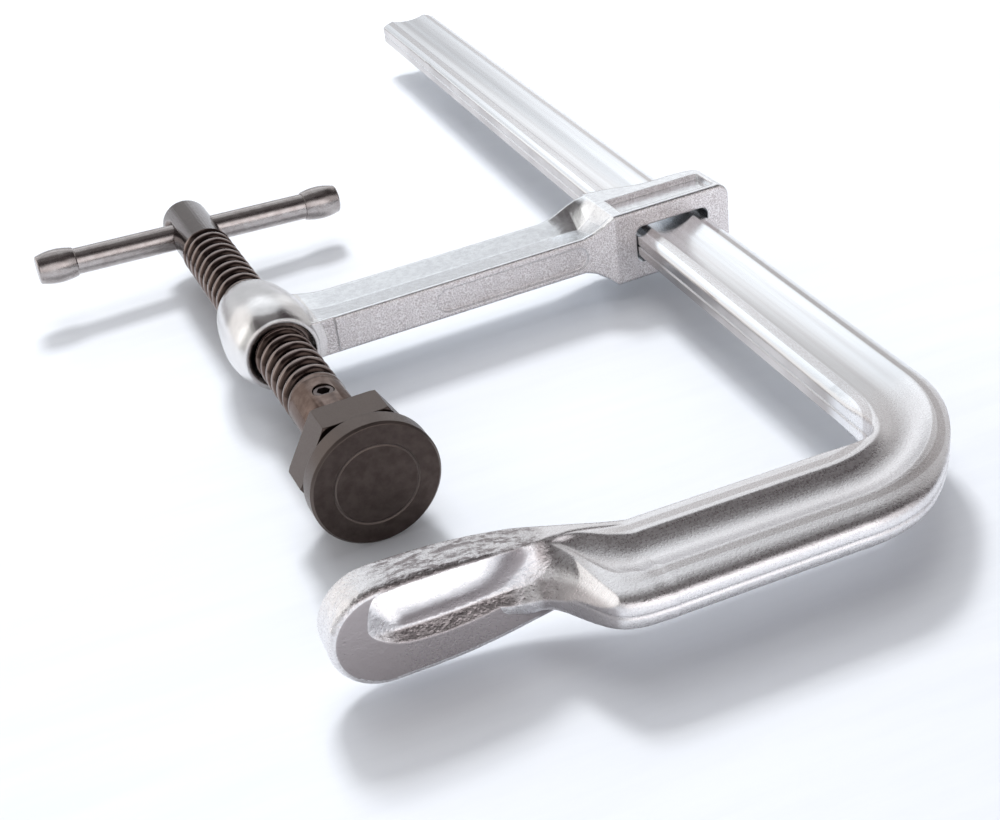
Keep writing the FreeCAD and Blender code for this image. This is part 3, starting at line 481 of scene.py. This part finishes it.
def rail_colour(nodes, where, grain, lines, fine, soft):
    """Colour of the rail, from the bare zinc up through each tint, painted shade and painted
    highlights among them.
    """
    speck = nodes.times(nodes.fall(grain, low=0.35, high=0.62), nodes.times(where.forged, 0.30))
    patch = nodes.noise(scale=650.0, detail=5.0, rough=0.7, stretch=(0.35, 1.0, 1.0))
    patch = nodes.ramp(patch, low=0.42, high=0.56, start=1.0, end=0.2)
    # Mask of the painted highlight along the jaw's edges
    edge_highlight = nodes.times(nodes.edges(soft, low=0.80, high=0.985), where.jaw)
    # Painted shade on the rail's inner side, streaked by the draw lines
    drawn_side_shade = nodes.shades(fine, RAIL_SIDE_SHADE, low=0.35, high=0.65)
    colour = nodes.shades(lines, RAIL_ZINC)
    colour = nodes.tint(colour, where.forged, *RAIL_FORGED)
    colour = nodes.tint(colour, hatch_mask(nodes), *RAIL_HATCH)
    colour = nodes.tint(colour, where.side, drawn_side_shade, SIDE_SHADE_STRENGTH)
    colour = nodes.tint(colour, speck, *RAIL_SPECK)
    # Painted shade on the jaw's back face
    colour = nodes.tint(colour, where.back, *RAIL_BACK_SHADE)
    # Painted shade on the ledge of the jaw's recess
    colour = nodes.tint(colour, where.ledge, *RAIL_LEDGE_SHADE)
    # Painted highlight on the slope of the jaw's recess
    colour = nodes.tint(colour, where.slope, *RAIL_SLOPE_HIGHLIGHT)
    colour = nodes.tint(colour, nodes.times(where.top, patch), *RAIL_TOP)
    # Painted shade at the jaw's neck
    colour = nodes.tint(colour, where.neck, *RAIL_NECK_SHADE)
    return nodes.tint(colour, edge_highlight, *RAIL_EDGE_HIGHLIGHT)


def rail_normal(nodes, where, grain, fine, soft):
    """Draw lines on the rail, forging grain on the arm and coarser skin on the jaw."""
    skin = nodes.noise(scale=420.0, detail=4.0, rough=0.6)
    lines = nodes.times(fine, nodes.minus(1.0, where.forged))
    grainy = nodes.times(grain, nodes.plus(where.forged, 0.15))
    coarse = nodes.times(where.wall, nodes.minus(1.0, nodes.times(where.slope, 0.6)))
    coarse = nodes.times(skin, nodes.plus(coarse, nodes.times(where.back, 0.2)))
    normal = nodes.tilt(soft, SLOPE_TILT, where.slope)
    normal = nodes.bump(lines, distance=0.012 * MM, strength=0.6, normal=normal)
    normal = nodes.bump(grainy, distance=0.10 * MM, strength=0.7, normal=normal)
    return nodes.bump(coarse, distance=0.60 * MM, strength=0.9, normal=normal)


def rail_material():
    """Bright zinc: draw lines and hatched bands along the rail, forging grain on the rest."""
    material = bpy.data.materials.new("bright_zinc_rail")
    nodes = Nodes(material)
    grain = nodes.noise(scale=1700.0, detail=3.0, rough=0.6)
    lines = nodes.drawn_lines(scale=230.0, detail=1.5)
    fine = nodes.drawn_lines(scale=2600.0, detail=2.0)
    soft = nodes.soft_edges(radius=1.0 * MM)
    where = rail_masks(nodes)
    rough = nodes.plus(nodes.spread(fine, 0.15, 0.24, low=0.25, high=0.75),
                       nodes.times(where.forged, 0.06))
    rough = nodes.plus(rough, nodes.times(nodes.spread(grain, 0.0, 0.12), where.forged))
    colour = rail_colour(nodes, where, grain, lines, fine, soft)
    nodes.metal(colour, rough, rail_normal(nodes, where, grain, fine, soft))
    return material


def arm_material():
    """Zinc on a forging: grainy mauve front face, brighter bluish broad faces, satin boss."""
    material = bpy.data.materials.new("forged_zinc_arm")
    nodes = Nodes(material)
    grain = nodes.noise(scale=2300.0, detail=3.0, rough=0.65)
    skin = nodes.noise(scale=420.0, detail=4.0, rough=0.6)
    soft = nodes.soft_edges(radius=0.9 * MM)
    front = nodes.facing(SPINDLE_WAY, low=0.55, high=0.85)
    boss = nodes.fall(nodes.distance_from_spindle(), *BOSS_RADII)
    broad = nodes.shades(skin, ARM_BROAD, low=0.35, high=0.65)
    speckled = nodes.shades(grain, ARM_FRONT, low=0.38, high=0.62)
    colour = nodes.mix(front, broad, speckled)
    colour = nodes.tint(colour, boss, *ARM_BOSS)
    # Painted highlight along the arm's edges
    colour = nodes.tint(colour, nodes.edges(soft, low=0.80, high=0.99), *ARM_EDGE_HIGHLIGHT)
    coarse = nodes.times(front, nodes.minus(1.0, nodes.times(boss, 0.7)))
    matt = nodes.times(nodes.minus(coarse, nodes.times(boss, 0.3)), 0.10)
    rough = nodes.plus(nodes.spread(grain, 0.19, 0.27), matt)
    grainy = nodes.times(grain, nodes.plus(coarse, 0.2))
    normal = nodes.bump(grainy, distance=0.24 * MM, strength=0.9, normal=soft)
    normal = nodes.bump(skin, distance=0.16 * MM, strength=0.5, normal=normal)
    nodes.metal(colour, rough, normal)
    return material


def spindle_material():
    """Oiled burnished brown steel, with painted shade black in the thread's roots and a painted
    highlight lighter on its crests.
    """
    material = bpy.data.materials.new("burnished_spindle")
    nodes = Nodes(material)
    cloud = nodes.noise(scale=420.0, detail=3.0, rough=0.6)
    fine = nodes.noise(scale=2200.0, detail=3.0, rough=0.6)
    radius = nodes.distance_from_spindle()
    threaded = nodes.band(nodes.axis("Y"), THREAD_START + THREAD_LENGTH / 2, THREAD_LENGTH / 2, MM)
    colour = nodes.shades(cloud, SPINDLE_STEEL)
    # Painted shade, black in the thread's roots
    colour = nodes.mix(nodes.rise(radius, *ROOT_RADII), THREAD_ROOT_SHADE, colour)
    # Painted highlight on the thread's crests
    colour = nodes.tint(colour, nodes.times(nodes.rise(radius, *CREST_RADII), threaded), *THREAD_CREST_HIGHLIGHT)
    soft = nodes.soft_edges(radius=0.25 * MM)
    normal = nodes.bump(fine, distance=0.015 * MM, strength=0.4, normal=soft)
    nodes.metal(colour, nodes.spread(fine, 0.11, 0.19), normal)
    return material


def screw_material():
    """Black oxide on the small socket screw."""
    material = bpy.data.materials.new("black_screw")
    nodes = Nodes(material)
    fine = nodes.noise(scale=1500.0, detail=3.0, rough=0.6)
    soft = nodes.soft_edges(radius=0.2 * MM)
    nodes.metal(nodes.mix(fine, *SCREW_STEEL), nodes.spread(fine, 0.28, 0.42), soft)
    return material


def bar_material():
    """Polished bare steel, a little brown, with fine lines along it."""
    material = bpy.data.materials.new("bare_steel_bar")
    nodes = Nodes(material)
    cloud = nodes.noise(scale=300.0, detail=3.0, rough=0.6)
    lines = nodes.noise(scale=1400.0, detail=3.0, rough=0.6, stretch=(0.08, 1.0, 1.0))
    rough = nodes.spread(lines, 0.20, 0.30, low=0.25, high=0.75)
    soft = nodes.soft_edges(radius=0.3 * MM)
    normal = nodes.bump(lines, distance=0.02 * MM, strength=0.4, normal=soft)
    nodes.metal(nodes.shades(cloud, BAR_STEEL), rough, normal)
    return material


def wire_material():
    """Plain spring steel of the ring inside the pad."""
    material = bpy.data.materials.new("spring_wire")
    nodes = Nodes(material)
    fine = nodes.noise(scale=1200.0, detail=2.0, rough=0.5)
    normal = nodes.bump(fine, distance=0.02 * MM, strength=0.4)
    nodes.metal(nodes.mix(fine, *WIRE_STEEL), 0.3, normal)
    return material


def plate_material():
    """Burnished brown-black steel, matt, darker on the clamping face, with painted light making the
    other faces lighter.
    """
    material = bpy.data.materials.new("burnished_plate")
    nodes = Nodes(material)
    cloud = nodes.noise(scale=300.0, detail=3.0, rough=0.6)
    fine = nodes.noise(scale=2000.0, detail=3.0, rough=0.6)
    front = nodes.facing(SPINDLE_WAY, low=0.80, high=0.95)
    # Painted light: the faces other than the clamping face take a lighter plain colour
    colour = nodes.mix(front, PLATE_LIT_SIDES, nodes.shades(cloud, PLATE_FRONT, low=0.25, high=0.75))
    soft = nodes.soft_edges(radius=0.5 * MM)
    normal = nodes.bump(fine, distance=0.04 * MM, strength=0.5, normal=soft)
    nodes.metal(colour, nodes.spread(fine, 0.30, 0.42), normal)
    return material


def dress_nodes():
    """Give every solid its material."""
    materials = {
        "rail_with_fixed_jaw": rail_material(),
        "sliding_arm": arm_material(),
        "spindle": spindle_material(),
        "grub_screw": screw_material(),
        "tommy_bar": bar_material(),
        "retaining_ring": wire_material(),
        "pressure_plate": plate_material(),
    }
    materials["tommy_bar_cap"] = materials["tommy_bar"]
    materials["ball_stud"] = materials["spindle"]
    for name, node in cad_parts.items():
        node.data.materials.clear()
        node.data.materials.append(materials[name])
    return materials


def pose_matrix():
    """From the square, unturned arm to the shown pose."""
    to_pivot = Matrix.Translation(LEAN_PIVOT)
    lean = to_pivot @ Matrix.Rotation(ARM_LEAN, 4, "Z") @ to_pivot.inverted()
    return lean @ Matrix.Rotation(SPINDLE_TURN, 4, "Y")


def is_plain_wall(face, start, end):
    """True for a face of the solid's smooth wall between start and end."""
    places = [corner.co.y for corner in face.verts]
    low = min(places)
    high = max(places)
    return low > start - WALL_SLACK and high < end + WALL_SLACK and high - low > WALL_LENGTH


def thread_column(mesh, side, rows, start, end):
    """The thread's points at one angle. Those past either end are drawn in to it."""
    angle = 2.0 * math.pi * side / THREAD_SIDES
    run_out = THREAD_RUN_OUT * THREAD_PITCH
    column = []
    for place, depth in rows:
        y = start + (place + side / THREAD_SIDES) * THREAD_PITCH
        y = min(max(y, start), end)
        fade = min((y - start) / run_out, (end - y) / run_out, 1.0)
        radius = THREAD_RADIUS - depth * THREAD_DEPTH * fade
        column.append(mesh.verts.new((radius * math.cos(angle), y, -radius * math.sin(angle))))
    return column


def add_thread(mesh, start, end):
    """Fill the stretch from start to end with a right-hand helical thread."""
    turns = int((end - start) / THREAD_PITCH) + 2
    rows = [(turn + share, depth) for turn in range(-1, turns) for share, depth in THREAD_PROFILE]
    columns = [thread_column(mesh, side, rows, start, end) for side in range(THREAD_SIDES)]
    for side, left in enumerate(columns):
        closing = side == THREAD_SIDES - 1
        right = columns[0] if closing else columns[side + 1]
        shift = len(THREAD_PROFILE) if closing else 0
        for row in range(len(rows) - 1 - shift):
            corners = (left[row], left[row + 1], right[row + 1 + shift], right[row + shift])
            if len({tuple(corner.co) for corner in corners}) > 2:
                mesh.faces.new(corners)


def make_threaded_spindle(material):
    """Copy of the solid with its plain wall exchanged for the thread."""
    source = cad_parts["spindle"]
    pose = pose_matrix()
    start = THREAD_START + THREAD_CHAMFER
    end = THREAD_START + THREAD_LENGTH - THREAD_CHAMFER
    mesh = bmesh.new()
    mesh.from_mesh(source.data)
    mesh.transform(pose.inverted())
    wall = [face for face in mesh.faces if is_plain_wall(face, start, end)]
    bmesh.ops.delete(mesh, geom=wall, context="FACES")
    add_thread(mesh, start, end)
    bmesh.ops.remove_doubles(mesh, verts=mesh.verts, dist=WELD_DISTANCE)
    bmesh.ops.recalc_face_normals(mesh, faces=mesh.faces)
    mesh.transform(pose)
    data = bpy.data.meshes.new("threaded_spindle")
    mesh.to_mesh(data)
    mesh.free()
    piece = bpy.data.objects.new("threaded_spindle", data)
    bpy.context.collection.objects.link(piece)
    data.materials.append(material)
    data.shade_smooth()
    data.set_sharp_from_angle(angle=SHARP_ANGLE)
    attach(piece, "screw")
    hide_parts("spindle")


def floor_material():
    """Pale streaky paint, glowing a little where the camera or a reflection shows it."""
    material = bpy.data.materials.new("floor")
    nodes = Nodes(material)
    streaks = nodes.noise(scale=90.0, detail=5.0, rough=0.65, stretch=(0.12, 1.0, 1.0))
    normal = nodes.bump(streaks, distance=0.02 * MM, strength=0.2)
    shader = nodes.metal(nodes.shades(streaks, FLOOR_PAINT), nodes.spread(streaks, 0.38, 0.44),
                         normal, FLOOR_METALLIC)
    seen = nodes.add("ShaderNodeLightPath")
    rays = nodes.plus(seen.outputs["Is Camera Ray"], seen.outputs["Is Glossy Ray"])
    rays = nodes.plus(rays, seen.outputs["Is Transmission Ray"], clamp=True)
    nodes.link(WHITE, shader.inputs["Emission Color"])
    nodes.link(nodes.times(rays, FLOOR_GLOW), shader.inputs["Emission Strength"])
    return material


def add_floor():
    """Pale table that keeps the clamp's shadow."""
    low = cad_box[0][2]
    mesh = bpy.data.meshes.new("floor")
    corners = [(-FLOOR_HALF, -FLOOR_HALF, low), (FLOOR_HALF, -FLOOR_HALF, low),
               (FLOOR_HALF, FLOOR_HALF, low), (-FLOOR_HALF, FLOOR_HALF, low)]
    mesh.from_pydata(corners, [], [(0, 1, 2, 3)])
    floor = bpy.data.objects.new("floor", mesh)
    bpy.context.collection.objects.link(floor)
    mesh.materials.append(floor_material())


def add_lamp(name, azimuth, elevation, distance, size, power):
    """Square lamp for the floor's shadow, out of sight in the metal."""
    data = bpy.data.lights.new(name, "AREA")
    data.size = size
    data.energy = power
    lamp = bpy.data.objects.new(name, data)
    bpy.context.collection.objects.link(lamp)
    back = direction(azimuth, elevation)
    lamp.location = LAMP_AIM + back * distance
    lamp.rotation_euler = (-back).to_track_quat("-Z", "Y").to_euler()
    lamp.visible_glossy = False


def add_light():
    """Lamps, and a world of soft glows that each fade out over their reach."""
    for row in LAMPS:
        add_lamp(*row)
    world = bpy.data.worlds.new("studio")
    bpy.context.scene.world = world
    nodes = Nodes(world, "Generated")
    total = AMBIENT
    for azimuth, elevation, reach, strength, colour in GLOWS:
        match = nodes.match(nodes.coords, direction(azimuth, elevation))
        outside = math.cos(math.radians(reach))
        inside = math.cos(math.radians(reach * GLOW_CORE))
        glow = nodes.scaled(colour, nodes.ramp(match, outside, inside, 0.0, strength))
        total = nodes.vector("ADD", glow, total)
    background = nodes.add("ShaderNodeBackground")
    nodes.link(total, background.inputs["Color"])
    output = nodes.add("ShaderNodeOutputWorld")
    nodes.link(background.outputs[0], output.inputs["Surface"])


add_camera()
materials = dress_nodes()
make_threaded_spindle(materials["spindle"])
add_floor()
add_light()
bpy.context.scene.view_settings.view_transform = "Standard"
